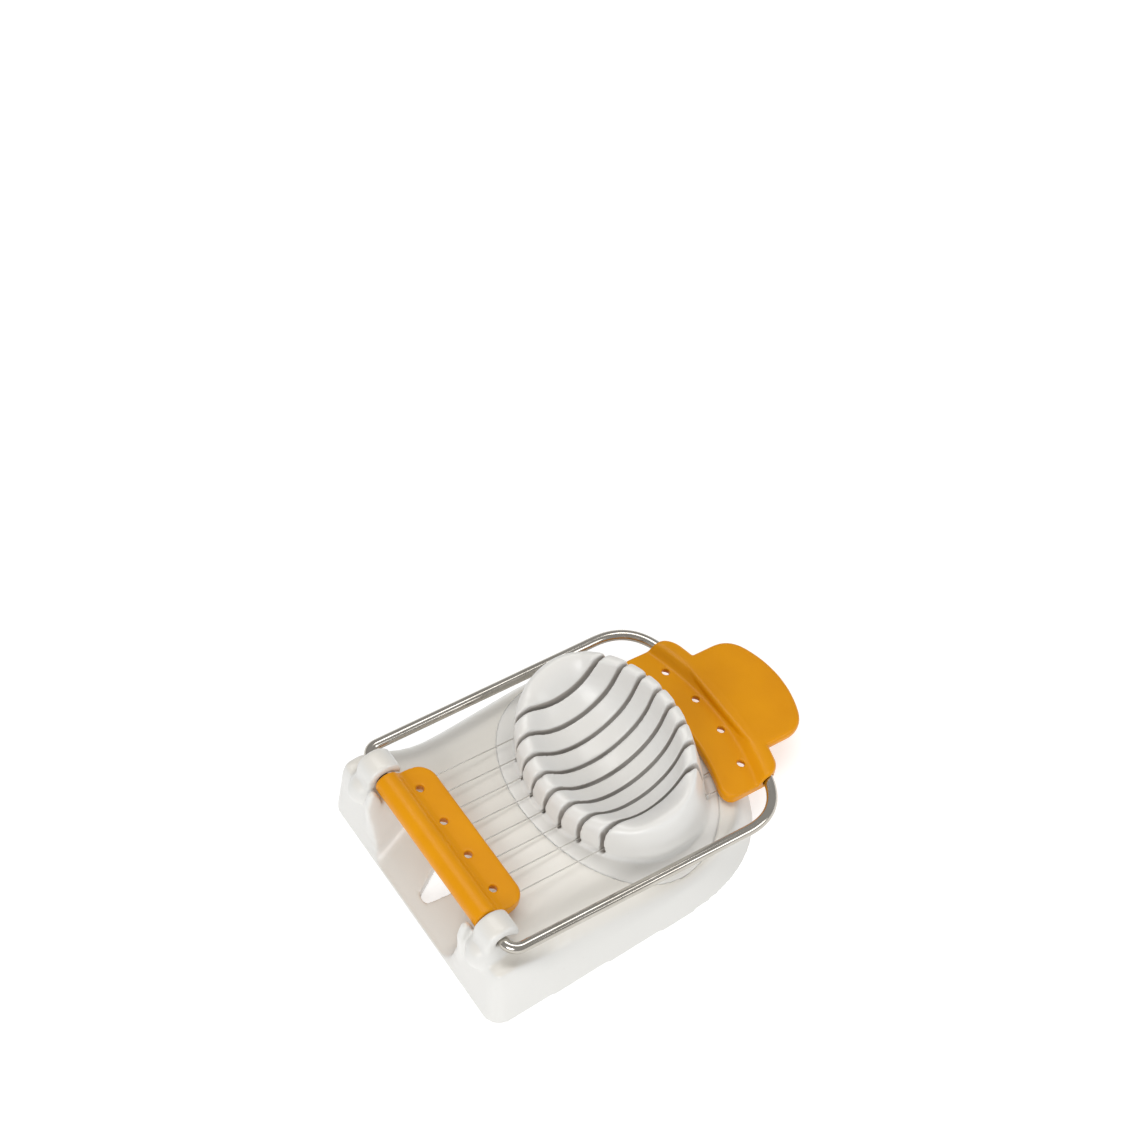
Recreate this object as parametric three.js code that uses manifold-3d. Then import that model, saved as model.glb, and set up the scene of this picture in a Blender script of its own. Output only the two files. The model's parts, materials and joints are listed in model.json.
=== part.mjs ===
// Egg slicer: a hinged wire frame over a slotted egg cradle. Millimetres, +Z up.
// +X runs from the hinge to the tab. The dimensions below are laid out from the middle of the
// base, and the finished slicer is then moved so that its own middle stands over the origin.
import * as THREE from 'three';
import { mergeVertices } from 'three/addons/utils/BufferGeometryUtils.js';
import Module from 'manifold-3d';

const wasm = await Module();
wasm.setup();

// ---- driving dimensions -------------------------------------------------------------------

// Pressed-out tray with an open underside. Its plan is a rounded rectangle with a bowed front.
const base = {
  rear: -48.5,
  rearHalf: 40.4, // half width at the rear
  half: 41.7, // half width where the bowed front begins
  cornerRadius: 6.5,
  bowStart: 8,
  bowLength: 41.4,
  bowPower: 2.6, // 2 would be an ellipse, more is squarer
  inset: 4.2, // how far the deck's rim stands inside the floor outline
  wall: 2.2,
  deck: 3,
  rimHeight: 8.9,
  rimSlope: -0.01,
  shoulder: { x: -41.5, rise: 11.5, spread: 12.5, steeper: 1.5, softer: 4 }, // rises to the hinge
  crown: { x: -9, z: 17.7, rearSlope: -0.06, frontSlope: -0.173, blend: 1 },
  flatShare: 0.45, // share of the deck's fall that is kept for its edge
  edgeBlend: 2.2,
};

const hinge = {
  x: -39,
  z: 25.4,
  closedTilt: 9.2, // degrees that the closed frame slopes down to the front
};

// Hooks that the bail turns in, one each side.
const lug = {
  inner: 24.6,
  outer: 31.5,
  radius: 5.1,
  foot: 12,
  footFront: 3.4,
  mouthWidth: 3.2,
  mouthAngle: 38,
  rounding: 1.4,
};

// Well behind and under the rear bar. Its floor is a ramp with the hanging hole in it.
const well = {
  lipX: -47.6,
  profile: [[1.2, -47.6], [8, -36.2], [10, -34.3], [13, -32.2], [16, -30.6], [19, -29.4], [40, -29]],
  halfAtFloor: 17.2,
  flare: 0.24,
  cornerRadius: 4,
  barrelClearance: 5.9,
};

const fin = { inner: 22, outer: 23.3, rear: -46.6, front: -44.6, low: 8, top: 27 };

const hangingHole = { rearX: -42.6, rearRadius: 1.5, frontX: -38.6, frontRadius: 4 };

const cradle = {
  // Egg-shaped outlines where the dome meets the deck and at its rim.
  foot: { x: 15.7, rear: 24.3, front: 22, half: 29.8, rearPower: 2, frontPower: 2.3 },
  rim: { x: 14.5, rear: 22, front: 19.7, half: 29, rearPower: 2.1, frontPower: 1.95 },
  rimRise: 27.4, // height of the sloping rim over the origin
  rimSlope: 0.232,
  edge: 2, // rounding of the rim
  flange: { x: 14.4, a: 26.7, b: 35.4, thickness: 1.5 },
  skirt: 4.5,
  dish: { x: 12.5, z: 36.5, a: 18.2, b: 26.3, c: 19.8 },
  shell: 3.2,
  wall: 2.6,
  slotWidth: 1.4,
  slotUnderWire: 2,
};

const bail = {
  radius: 1.5,
  armAtHinge: 35,
  armAtFront: 35.6,
  innerEnd: 13, // how near the middle the ends reach inside the rear bar
  hingeBend: 3.6,
  cornerStart: 74.5, // where the arms begin to turn in, ahead of the hinge
  steps: 110,
  sides: 8,
};

const cutting = { pitch: 5.8, radius: 0.22, drop: 2.2, rearEnd: 4.4, frontEnd: 69, sides: 8 };

const rearBar = {
  half: 24.1,
  barrel: 3.5,
  front: 12.5,
  top: 0.6,
  bottom: -3.2,
  cornerRadius: 5,
  rounding: 0.8,
};

// The front bar's edges are arcs about one centre on the frame's middle line.
const frontBar = {
  half: 25.6,
  centre: 16.1,
  rearEdge: 63.5,
  holes: 72,
  bandStart: 74.2,
  bailLine: 77.4,
  frontEdge: 80.8,
  top: 0.3,
  bottom: -3,
  bandTop: 2.8,
  rearCorner: 5,
  bandCorner: 2.2,
  frontCorner: 3.8,
  rounding: 0.6,
};

const tab = { half: 17.4, tip: 112, tipRadius: 30, cornerRadius: 5, top: 2.8, bottom: -0.4 };

const smallHole = { radius: 1.1, spacing: 11.6, rearU: 6.1 };

const gap = 0.3; // clearance between separate pieces

const sliver = 0.01; // detail finer than this is dropped from a finished solid

// ---- materials ----------------------------------------------------------------------------

function material(color, roughness, metalness) {
  return new THREE.MeshStandardMaterial({ color, roughness, metalness });
}

const whitePlastic = material(0xe8e6e0, 0.42, 0);
const cradlePlastic = material(0xefeeea, 0.4, 0);
const orangePlastic = material(0xdf9410, 0.42, 0);
const bailSteel = material(0xb9b4aa, 0.18, 1);
const wireSteel = material(0xa8a49b, 0.3, 1);

// ---- solids -------------------------------------------------------------------------------

// A closed geometry as a solid that can be joined and cut.
function solid(geometry) {
  const bare = geometry.clone();
  bare.deleteAttribute('normal');
  bare.deleteAttribute('uv');
  const merged = mergeVertices(bare, 1e-4);
  return new wasm.Manifold(new wasm.Mesh({
    numProp: 3,
    vertProperties: Float32Array.from(merged.attributes.position.array),
    triVerts: Uint32Array.from(merged.index.array),
  }));
}

function meshNode(name, body, surface) {
  const result = body.asOriginal().simplify(sliver).getMesh();
  const geometry = new THREE.BufferGeometry();
  geometry.setAttribute('position', new THREE.BufferAttribute(result.vertProperties, 3));
  geometry.setIndex(new THREE.BufferAttribute(result.triVerts, 1));
  geometry.computeVertexNormals();
  const mesh = new THREE.Mesh(geometry, surface);
  mesh.name = name;
  return mesh;
}

// A skin through a stack of rings, lowest first: a cylinder whose points are moved onto them.
function stack(rings) {
  const around = rings[0].length;
  const geometry = new THREE.CylinderGeometry(1, 1, 1, around, rings.length - 1);
  const centres = rings.map((ring) => {
    const sum = ring.reduce((total, point) => total.add(point), new THREE.Vector3());
    return sum.divideScalar(around);
  });
  const points = geometry.attributes.position;
  for (let i = 0; i < points.count; i += 1) {
    const x = points.getX(i);
    const z = points.getZ(i);
    const level = Math.round((points.getY(i) + 0.5) * (rings.length - 1));
    const turn = Math.round((Math.atan2(x, z) / (2 * Math.PI)) * around + around) % around;
    const target = Math.hypot(x, z) < 0.5 ? centres[level] : rings[level][turn];
    points.setXYZ(i, target.x, target.y, target.z);
  }
  return solid(geometry);
}

// A shape drawn in X and Y, raised from one height to another, with rounded edges if wanted.
function upright(shape, low, high, rounding = 0) {
  const geometry = new THREE.ExtrudeGeometry(shape, {
    depth: high - low - 2 * rounding,
    curveSegments: 12,
    bevelEnabled: rounding > 0,
    bevelThickness: rounding,
    bevelSize: rounding,
    bevelOffset: -rounding,
    bevelSegments: 1,
  });
  return solid(geometry.translate(0, 0, low + rounding));
}

// A side profile drawn in X and Z, spread from one Y to another.
function sideways(shape, from, to, rounding = 0) {
  return upright(shape, from, to, rounding).rotate([90, 0, 0]).translate([0, from + to, 0]);
}

function block(x0, x1, y0, y1, z0, z1) {
  const geometry = new THREE.BoxGeometry(x1 - x0, y1 - y0, z1 - z0);
  return solid(geometry.translate((x0 + x1) / 2, (y0 + y1) / 2, (z0 + z1) / 2));
}

function rodAlongX(radius, x0, x1, y, z, sides) {
  const geometry = new THREE.CylinderGeometry(radius, radius, x1 - x0, sides);
  return solid(geometry.rotateZ(Math.PI / 2).translate((x0 + x1) / 2, y, z));
}

function rodAlongY(radius, x, z, y0, y1, sides) {
  const geometry = new THREE.CylinderGeometry(radius, radius, y1 - y0, sides);
  return solid(geometry.translate(x, (y0 + y1) / 2, z));
}

function rodAlongZ(radius, x, y, z0, z1, sides) {
  const geometry = new THREE.CylinderGeometry(radius, radius, z1 - z0, sides);
  return solid(geometry.rotateX(Math.PI / 2).translate(x, y, (z0 + z1) / 2));
}

// The lower of two heights, with the corner between them rounded off.
function softMin(a, b, blend) {
  const h = Math.max(blend - Math.abs(a - b), 0) / blend;
  return Math.min(a, b) - (h * h * blend) / 4;
}

const sides = [-1, 1];
const { lerp } = THREE.MathUtils;

// ---- base ---------------------------------------------------------------------------------

// Floor outline, anticlockwise from the middle of the front.
function floorOutline() {
  const points = [];
  const bowSteps = 16;
  for (let i = 0; i <= bowSteps; i += 1) {
    const turn = (Math.PI / 2) * (i / bowSteps);
    const forward = Math.cos(turn) ** (2 / base.bowPower);
    const across = Math.sin(turn) ** (2 / base.bowPower);
    points.push([base.bowStart + base.bowLength * forward, base.half * across]);
  }
  const cornerX = base.rear + base.cornerRadius;
  const cornerY = base.rearHalf - base.cornerRadius;
  for (const along of [0.2, 0.4, 0.6, 0.8]) {
    points.push([lerp(base.bowStart, cornerX, along), lerp(base.half, base.rearHalf, along)]);
  }
  const cornerSteps = 5;
  for (let i = 0; i <= cornerSteps; i += 1) {
    const turn = (Math.PI / 2) * (1 + i / cornerSteps);
    const x = cornerX + base.cornerRadius * Math.cos(turn);
    points.push([x, cornerY + base.cornerRadius * Math.sin(turn)]);
  }
  for (const along of [0.35, 0.7]) {
    points.push([base.rear, lerp(cornerY, 0, along)]);
  }
  const mirrored = points.slice(1).reverse().map(([x, y]) => [x, -y]);
  const all = [...points, [base.rear, 0], ...mirrored];
  return all.map(([x, y]) => new THREE.Vector2(x, y));
}

// The hinge's shoulders as a share of their full rise.
function shoulderShare(x) {
  return Math.exp(-(((x - base.shoulder.x) / base.shoulder.spread) ** 2));
}

// The outline moved inwards, square to itself, by a distance plus a share of the wall's inset.
function insetOutline(outline, distance, share = 0) {
  const count = outline.length;
  return outline.map((point, i) => {
    const before = outline[(i + count - 1) % count];
    const after = outline[(i + 1) % count];
    const along = after.clone().sub(before).normalize();
    const wallInset = base.inset - base.shoulder.steeper * shoulderShare(point.x);
    const move = distance + share * wallInset;
    return new THREE.Vector2(point.x - along.y * move, point.y + along.x * move);
  });
}

function crownHeight(x) {
  const { crown } = base;
  const run = x - crown.x;
  return softMin(crown.z + crown.rearSlope * run, crown.z + crown.frontSlope * run, crown.blend);
}

function rimHeight(x) {
  return base.rimHeight + base.rimSlope * x + base.shoulder.rise * shoulderShare(x);
}

function deckHeight(x, y) {
  const across = Math.min(Math.abs(y) / (base.half - base.inset), 1);
  const fall = (1 - base.flatShare) * across ** 2 + base.flatShare * across ** 6;
  return lerp(crownHeight(x), rimHeight(x), fall);
}

// The tray as a full solid, or, shrunk and lowered, the hollow under it.
function trayBody(shrink, lower, floor) {
  const outline = floorOutline();
  const lift = (ring, height) => ring.map((p) => new THREE.Vector3(p.x, p.y, height(p)));
  const rings = floor < 0 ? [lift(insetOutline(outline, shrink), () => floor)] : [];
  for (const share of [0, 0.75, 0.9, 1.1, 1.35]) {
    rings.push(lift(insetOutline(outline, shrink, share), (p) => {
      const wall = rimHeight(p.x) * share;
      const blend = base.edgeBlend + base.shoulder.softer * shoulderShare(p.x);
      return Math.max(softMin(wall, deckHeight(p.x, p.y) - lower, blend), 0);
    }));
  }
  const last = rings[rings.length - 1];
  for (const pull of [0.08, 0.2, 0.38, 0.6, 0.85]) {
    rings.push(last.map((point) => {
      const x = lerp(point.x, 0, pull);
      const y = lerp(point.y, 0, pull);
      return new THREE.Vector3(x, y, deckHeight(x, y) - lower);
    }));
  }
  return stack(rings);
}

// The well as a solid to cut away, grown all round by a wall thickness.
function wellBody(grow) {
  const rear = base.rear - 10;
  const cornerSteps = 4;
  return stack(well.profile.map(([height, front]) => {
    const half = well.halfAtFloor + well.flare * Math.min(height, 24) + grow;
    const radius = well.cornerRadius;
    const ring = [new THREE.Vector3(rear, -half, height - grow)];
    for (const side of sides) {
      for (let i = 0; i <= cornerSteps; i += 1) {
        const turn = (Math.PI / 2) * (side < 0 ? i / cornerSteps - 1 : i / cornerSteps);
        const x = front + grow - radius + radius * Math.cos(turn);
        ring.push(new THREE.Vector3(x, side * (half - radius) + radius * Math.sin(turn), height - grow));
      }
    }
    ring.push(new THREE.Vector3(rear, half, height - grow));
    return ring;
  }));
}

function lugBody() {
  const profile = new THREE.Shape();
  profile.moveTo(hinge.x - lug.radius, lug.foot);
  profile.lineTo(hinge.x + lug.footFront, lug.foot);
  profile.lineTo(hinge.x + lug.footFront, hinge.z - 4);
  profile.absarc(hinge.x, hinge.z, lug.radius, -0.87, Math.PI, false);
  profile.closePath();
  // The profile's Y is the lug's height.
  let body = sideways(profile, lug.inner, lug.outer, lug.rounding);
  const mouth = block(0, 2 * lug.radius, 0, 40, -lug.mouthWidth / 2, lug.mouthWidth / 2);
  body = body.subtract(mouth.rotate([0, lug.mouthAngle, 0]).translate([hinge.x, 0, hinge.z]));
  return body;
}

function hangingHoleBody() {
  const { rearX, rearRadius, frontX, frontRadius } = hangingHole;
  const outline = new THREE.Shape();
  outline.absarc(rearX, 0, rearRadius, Math.PI / 2 + 0.5, 1.5 * Math.PI - 0.5, false);
  outline.absarc(frontX, 0, frontRadius, -Math.PI / 2 - 0.5, Math.PI / 2 + 0.5, false);
  outline.closePath();
  return upright(outline, -5, 20);
}

// A closed ring whose front and rear halves can differ in length and squareness.
function ovalRing(oval, shrink, height) {
  const count = 44;
  return Array.from({ length: count }, (unused, i) => {
    const turn = (2 * Math.PI * i) / count;
    const ahead = Math.cos(turn) > 0;
    const power = 2 / (ahead ? oval.frontPower : oval.rearPower);
    const reach = (ahead ? oval.front : oval.rear) - shrink;
    const along = Math.sign(Math.cos(turn)) * Math.abs(Math.cos(turn)) ** power;
    const across = Math.sign(Math.sin(turn)) * Math.abs(Math.sin(turn)) ** power;
    const x = oval.x + reach * along;
    const y = (oval.half - shrink) * across;
    return new THREE.Vector3(x, y, height(x, y));
  });
}

function ellipse({ x, a, b }) {
  return { x, rear: a, front: a, half: b, rearPower: 2, frontPower: 2 };
}

// A plug that follows the deck, to cut the cradle's seat into it.
function deckPlug(oval, grow, depth) {
  const under = (x, y) => deckHeight(x, y) - depth;
  return stack([
    ovalRing(oval, 6, under),
    ovalRing(oval, -grow, under),
    ovalRing(oval, -grow, () => 45),
  ]);
}

function baseBody() {
  const { foot, flange } = cradle;
  const hollow = trayBody(base.wall, base.deck, -1).subtract(wellBody(base.wall));
  let body = trayBody(0, 0, 0).subtract(wellBody(0));
  const trough = rodAlongY(well.barrelClearance, hinge.x, hinge.z, -lug.inner, lug.inner, 32);
  body = body.subtract(trough);
  for (const side of sides) {
    const flip = (part) => (side < 0 ? part.mirror([0, 1, 0]) : part);
    body = body.add(flip(lugBody()));
    body = body.add(flip(block(fin.rear, fin.front, fin.inner, fin.outer, fin.low, fin.top)));
  }
  body = body.subtract(hollow);
  const bore = bail.radius + gap;
  body = body.subtract(rodAlongY(bore, hinge.x, hinge.z, -lug.outer - 1, lug.outer + 1, 24));
  body = body.subtract(hangingHoleBody());
  body = body.subtract(deckPlug(ellipse(flange), gap, flange.thickness + gap));
  return body.subtract(deckPlug(foot, gap + 0.2, 20));
}

// ---- egg cradle ---------------------------------------------------------------------------

function wireHeight(x) {
  const tilt = THREE.MathUtils.degToRad(hinge.closedTilt);
  return hinge.z - cutting.drop / Math.cos(tilt) - (x - hinge.x) * Math.tan(tilt);
}

function rimPlane(x) {
  return cradle.rimRise + cradle.rimSlope * x;
}

// The dome's skin, moved inwards by a wall thickness. It runs down to a given height or depth.
function domeBody(shrink, bottom) {
  const { foot, rim, edge } = cradle;
  const rimRing = (inset, drop) => {
    return ovalRing(rim, shrink + inset * edge, (x) => rimPlane(x) - drop * edge - shrink);
  };
  return stack([
    ovalRing(foot, shrink, bottom),
    ovalRing(foot, shrink, deckHeight),
    rimRing(0, 1),
    rimRing(0.3, 0.3),
    rimRing(1, 0),
  ]);
}

function flangeBody() {
  const { foot, wall, flange } = cradle;
  const under = (x, y) => deckHeight(x, y) - flange.thickness;
  return stack([
    ovalRing(foot, wall + 1, under),
    ovalRing(ellipse(flange), 0, under),
    ovalRing(ellipse(flange), 0, deckHeight),
    ovalRing(foot, wall + 1, deckHeight),
  ]);
}

function dishBody(grow) {
  const { dish } = cradle;
  const ball = new THREE.SphereGeometry(1, 40, 28);
  ball.scale(dish.a + grow, dish.b + grow, dish.c + grow);
  return solid(ball.translate(dish.x, 0, dish.z));
}

// One wire's slot, from under the wire to above the rim, as long as the dome's foot.
function slotBody(y) {
  const { foot, slotWidth, slotUnderWire } = cradle;
  const reach = (length, power) => length * (1 - Math.abs(y / foot.half) ** power) ** (1 / power);
  const rear = foot.x - reach(foot.rear, foot.rearPower) - 0.1;
  const front = foot.x + reach(foot.front, foot.frontPower) + 0.1;
  const outline = new THREE.Shape();
  outline.moveTo(rear, wireHeight(rear) - slotUnderWire);
  outline.lineTo(front, wireHeight(front) - slotUnderWire);
  outline.lineTo(front, 50);
  outline.lineTo(rear, 50);
  outline.closePath();
  return sideways(outline, y - slotWidth / 2, y + slotWidth / 2);
}

function cradleBody(wireRows) {
  const { skirt, wall, shell } = cradle;
  const hollow = domeBody(wall, () => -1).subtract(dishBody(shell));
  let body = domeBody(0, (x, y) => deckHeight(x, y) - skirt).add(flangeBody());
  body = body.subtract(hollow).subtract(dishBody(0));
  for (const y of wireRows) {
    body = body.subtract(slotBody(y));
  }
  return body;
}

// ---- cutting frame, drawn level with the hinge axis at its origin -------------------------

// The front bar's plan from one arc to its front edge, with rounded corners at both ends.
function barOutline(rearRadius, rearCorner) {
  const { centre, frontEdge, half, frontCorner } = frontBar;
  const frontTurn = Math.asin((half - frontCorner) / frontEdge);
  const rearTurn = Math.asin((half - rearCorner) / rearRadius);
  const frontX = alongArc(frontEdge, half);
  const rearX = alongArc(rearRadius, half);
  const outline = new THREE.Shape();
  outline.absarc(centre, 0, frontEdge, -frontTurn, frontTurn, false);
  outline.quadraticCurveTo(frontX, half, frontX - frontCorner, half);
  outline.lineTo(rearX + rearCorner, half);
  outline.quadraticCurveTo(rearX, half, alongArc(rearRadius, half - rearCorner), half - rearCorner);
  outline.absarc(centre, 0, rearRadius, rearTurn, -rearTurn, true);
  outline.quadraticCurveTo(rearX, -half, rearX + rearCorner, -half);
  outline.lineTo(frontX - frontCorner, -half);
  outline.quadraticCurveTo(frontX, -half, alongArc(frontEdge, half - frontCorner), frontCorner - half);
  outline.closePath();
  return outline;
}

function tabOutline() {
  const { half, tip, tipRadius, cornerRadius } = tab;
  const root = frontBar.centre + frontBar.bailLine - 3;
  const turn = Math.asin((half - cornerRadius) / tipRadius);
  const shoulder = tip - tipRadius + tipRadius * Math.cos(turn);
  const corner = tip - tipRadius + tipRadius * Math.cos(Math.asin(half / tipRadius));
  const outline = new THREE.Shape();
  outline.moveTo(root, -half);
  outline.lineTo(corner - cornerRadius, -half);
  outline.quadraticCurveTo(corner + 0.6, -half, shoulder, -half + cornerRadius);
  outline.absarc(tip - tipRadius, 0, tipRadius, -turn, turn, false);
  outline.quadraticCurveTo(corner + 0.6, half, corner - cornerRadius, half);
  outline.lineTo(root, half);
  outline.closePath();
  return outline;
}

// Bores for the cutting wires' ends and the small holes between them.
function boreBars(body, wireRows, wireFrom, wireTo, holeAt) {
  const { radius, drop } = cutting;
  let bored = body;
  for (const y of wireRows) {
    bored = bored.subtract(rodAlongX(radius + gap, wireFrom(y), wireTo(y), y, -drop, 10));
  }
  for (const step of [-1.5, -0.5, 0.5, 1.5]) {
    const y = step * smallHole.spacing;
    bored = bored.subtract(rodAlongZ(smallHole.radius, holeAt(y), y, -10, 10, 20));
  }
  return bored;
}

function alongArc(radius, y) {
  return frontBar.centre + Math.sqrt(radius ** 2 - y ** 2);
}

function rearBarBody(wireRows) {
  const { half, barrel, front, top, bottom, cornerRadius, rounding } = rearBar;
  const outline = new THREE.Shape();
  outline.moveTo(0, -half);
  outline.lineTo(front - cornerRadius, -half);
  outline.absarc(front - cornerRadius, cornerRadius - half, cornerRadius, -Math.PI / 2, 0, false);
  outline.absarc(front - cornerRadius, half - cornerRadius, cornerRadius, 0, Math.PI / 2, false);
  outline.lineTo(0, half);
  outline.closePath();
  let body = upright(outline, bottom, top, rounding);
  body = body.add(rodAlongY(barrel, 0, 0, -half, half, 32));
  for (const side of sides) {
    const ends = [side * (bail.innerEnd - 1), side * (half + 1)].sort((a, b) => a - b);
    body = body.subtract(rodAlongY(bail.radius + gap, 0, 0, ends[0], ends[1], 20));
  }
  const from = () => cutting.rearEnd - gap;
  const to = () => front + 1;
  return boreBars(body, wireRows, from, to, () => smallHole.rearU);
}

function bailPath(radialShift = 0) {
  const { armAtHinge, armAtFront, innerEnd, hingeBend, cornerStart } = bail;
  const at = (u, y) => new THREE.Vector3(u, y, 0);
  const radius = frontBar.bailLine + radialShift;
  const arcHalf = 25.8;
  const arcTurn = Math.asin(arcHalf / radius);
  const arcEnd = at(alongArc(radius, arcHalf), arcHalf);
  // The tangents of the arm and of the arc meet here.
  const slope = Math.tan(arcTurn);
  const corner = at(arcEnd.x - (armAtFront - arcHalf) * slope, armAtFront);
  const half = [
    new THREE.LineCurve3(at(0, innerEnd), at(0, armAtHinge - hingeBend)),
    new THREE.QuadraticBezierCurve3(
      at(0, armAtHinge - hingeBend),
      at(0, armAtHinge),
      at(hingeBend, armAtHinge),
    ),
    new THREE.LineCurve3(at(hingeBend, armAtHinge), at(cornerStart, armAtFront)),
    new THREE.QuadraticBezierCurve3(at(cornerStart, armAtFront), corner, arcEnd),
  ];
  const path = new THREE.CurvePath();
  half.forEach((curve) => path.add(curve));
  const arcSteps = 12;
  const arcPoint = (i) => {
    const y = arcHalf * (1 - (2 * i) / arcSteps);
    return at(alongArc(radius, y), y);
  };
  for (let i = 0; i < arcSteps; i += 1) {
    path.add(new THREE.LineCurve3(arcPoint(i), arcPoint(i + 1)));
  }
  const flip = (v) => at(v.x, -v.y);
  [...half].reverse().forEach((curve) => {
    path.add(curve.isLineCurve3
      ? new THREE.LineCurve3(flip(curve.v2), flip(curve.v1))
      : new THREE.QuadraticBezierCurve3(flip(curve.v2), flip(curve.v1), flip(curve.v0)));
  });
  return path;
}

function bailTube(radius, steps) {
  const section = new THREE.Shape();
  section.absarc(0, 0, radius, 0, 2 * Math.PI, false);
  return solid(new THREE.ExtrudeGeometry(section, {
    steps,
    curveSegments: bail.sides / 2,
    bevelEnabled: false,
    extrudePath: bailPath(),
  }));
}

function frontBarBody(wireRows) {
  const { half, rearEdge, bandStart, top, bottom, bandTop, rearCorner, bandCorner } = frontBar;
  const { rounding, bailLine, holes } = frontBar;
  let body = upright(barOutline(rearEdge, rearCorner), bottom, top, rounding);
  body = body.add(upright(barOutline(bandStart, bandCorner), bottom, bandTop, rounding));
  body = body.add(upright(tabOutline(), tab.bottom, tab.top, rounding));
  const tunnelSteps = 12;
  const radius = bail.radius + gap;
  const reach = half + 3;
  for (let i = 0; i < tunnelSteps; i += 1) {
    const y0 = reach * ((2 * i) / tunnelSteps - 1);
    const y1 = reach * ((2 * (i + 1)) / tunnelSteps - 1);
    const [x0, x1] = [alongArc(bailLine, y0), alongArc(bailLine, y1)];
    const turn = THREE.MathUtils.radToDeg(Math.atan2(x0 - x1, y1 - y0));
    const length = Math.hypot(x1 - x0, y1 - y0) + 0.6;
    const piece = rodAlongY(radius, 0, 0, -length / 2, length / 2, 10);
    body = body.subtract(piece.rotate([0, 0, turn]).translate([(x0 + x1) / 2, (y0 + y1) / 2, 0]));
  }
  const from = (y) => alongArc(rearEdge, y) - 2;
  const to = (y) => alongArc(cutting.frontEnd, y) + gap;
  return boreBars(body, wireRows, from, to, (y) => alongArc(holes, y));
}

function wireBody(y) {
  const { radius, drop, rearEnd, frontEnd } = cutting;
  return rodAlongX(radius, rearEnd, alongArc(frontEnd, y), y, -drop, cutting.sides);
}

// ---- assembly -----------------------------------------------------------------------------

const wireRows = [-3.5, -2.5, -1.5, -0.5, 0.5, 1.5, 2.5, 3.5].map((step) => step * cutting.pitch);

const slicer = new THREE.Group();
slicer.add(meshNode('base', baseBody(), whitePlastic));
slicer.add(meshNode('egg_cradle', cradleBody(wireRows), cradlePlastic));

const frame = new THREE.Group();
frame.position.set(hinge.x, 0, hinge.z);
frame.rotation.y = THREE.MathUtils.degToRad(hinge.closedTilt);
frame.add(meshNode('bail_wire', bailTube(bail.radius, bail.steps), bailSteel));
frame.add(meshNode('rear_bar', rearBarBody(wireRows), orangePlastic));
frame.add(meshNode('front_bar', frontBarBody(wireRows), orangePlastic));
wireRows.forEach((y, i) => {
  frame.add(meshNode(`cutting_wire_${i + 1}`, wireBody(y), wireSteel));
});
slicer.add(frame);

// Bring the middle of the whole slicer over the origin.
const extent = new THREE.Box3().setFromObject(slicer, true);
slicer.position.x = -(extent.min.x + extent.max.x) / 2;

export default slicer;
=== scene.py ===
import json
import math

import bmesh
import bpy
from mathutils import Matrix, Vector


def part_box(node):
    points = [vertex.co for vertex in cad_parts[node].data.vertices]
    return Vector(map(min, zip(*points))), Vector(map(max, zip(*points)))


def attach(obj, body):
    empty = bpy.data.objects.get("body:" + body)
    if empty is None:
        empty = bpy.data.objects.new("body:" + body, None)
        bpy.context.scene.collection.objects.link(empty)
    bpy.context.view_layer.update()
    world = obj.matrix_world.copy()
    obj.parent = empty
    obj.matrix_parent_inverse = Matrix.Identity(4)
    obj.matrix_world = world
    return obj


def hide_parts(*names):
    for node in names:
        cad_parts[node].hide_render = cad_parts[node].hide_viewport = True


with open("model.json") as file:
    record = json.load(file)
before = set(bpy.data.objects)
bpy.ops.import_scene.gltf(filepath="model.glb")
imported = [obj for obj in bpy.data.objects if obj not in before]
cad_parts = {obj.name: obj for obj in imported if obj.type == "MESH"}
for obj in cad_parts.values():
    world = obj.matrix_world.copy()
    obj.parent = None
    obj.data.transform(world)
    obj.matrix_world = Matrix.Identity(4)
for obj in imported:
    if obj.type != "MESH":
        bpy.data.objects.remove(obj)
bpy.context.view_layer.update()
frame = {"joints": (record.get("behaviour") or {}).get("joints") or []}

# ---- where things are ---------------------------------------------------------------------

# Pieces are modelled in millimetres: those of the stand from the middle of its floor outline,
# and those of the cutting frame from the hinge axis, with the frame drawn level.
MM = 0.001
REAR_EDGE = -48.5
CLOSED_TILT = 9.2

hinge_place = Vector(frame["joints"][0]["pos_m"])
stand_place = Vector((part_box("base")[0][0] - REAR_EDGE * MM, 0, 0))
HINGE_X = (hinge_place.x - stand_place.x) / MM
HINGE_Z = hinge_place.z / MM

TO_STAND = Matrix.Translation(stand_place) @ Matrix.Scale(MM, 4)
TO_FRAME = (
    Matrix.Translation(hinge_place)
    @ Matrix.Rotation(math.radians(CLOSED_TILT), 4, "Y")
    @ Matrix.Scale(MM, 4)
)

WIRE_SPACING = 5.8
WIRE_ROWS = [WIRE_SPACING * step for step in (-3.5, -2.5, -1.5, -0.5, 0.5, 1.5, 2.5, 3.5)]

# Tray under the cradle.
FLOOR_HALF = 41.7
REAR_HALF = 40.4
REAR_CORNER = 5.2
BOW_START = 8
BOW_LENGTH = 41.4
BOW_POWER = 2.6
WALL_INSET = 4.2
RIM_HEIGHT = 8.9
SHOULDER_X = -41.5
SHOULDER_RISE = 11.5
SHOULDER_SPREAD = 12.5
DECK_HALF = FLOOR_HALF - WALL_INSET

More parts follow.
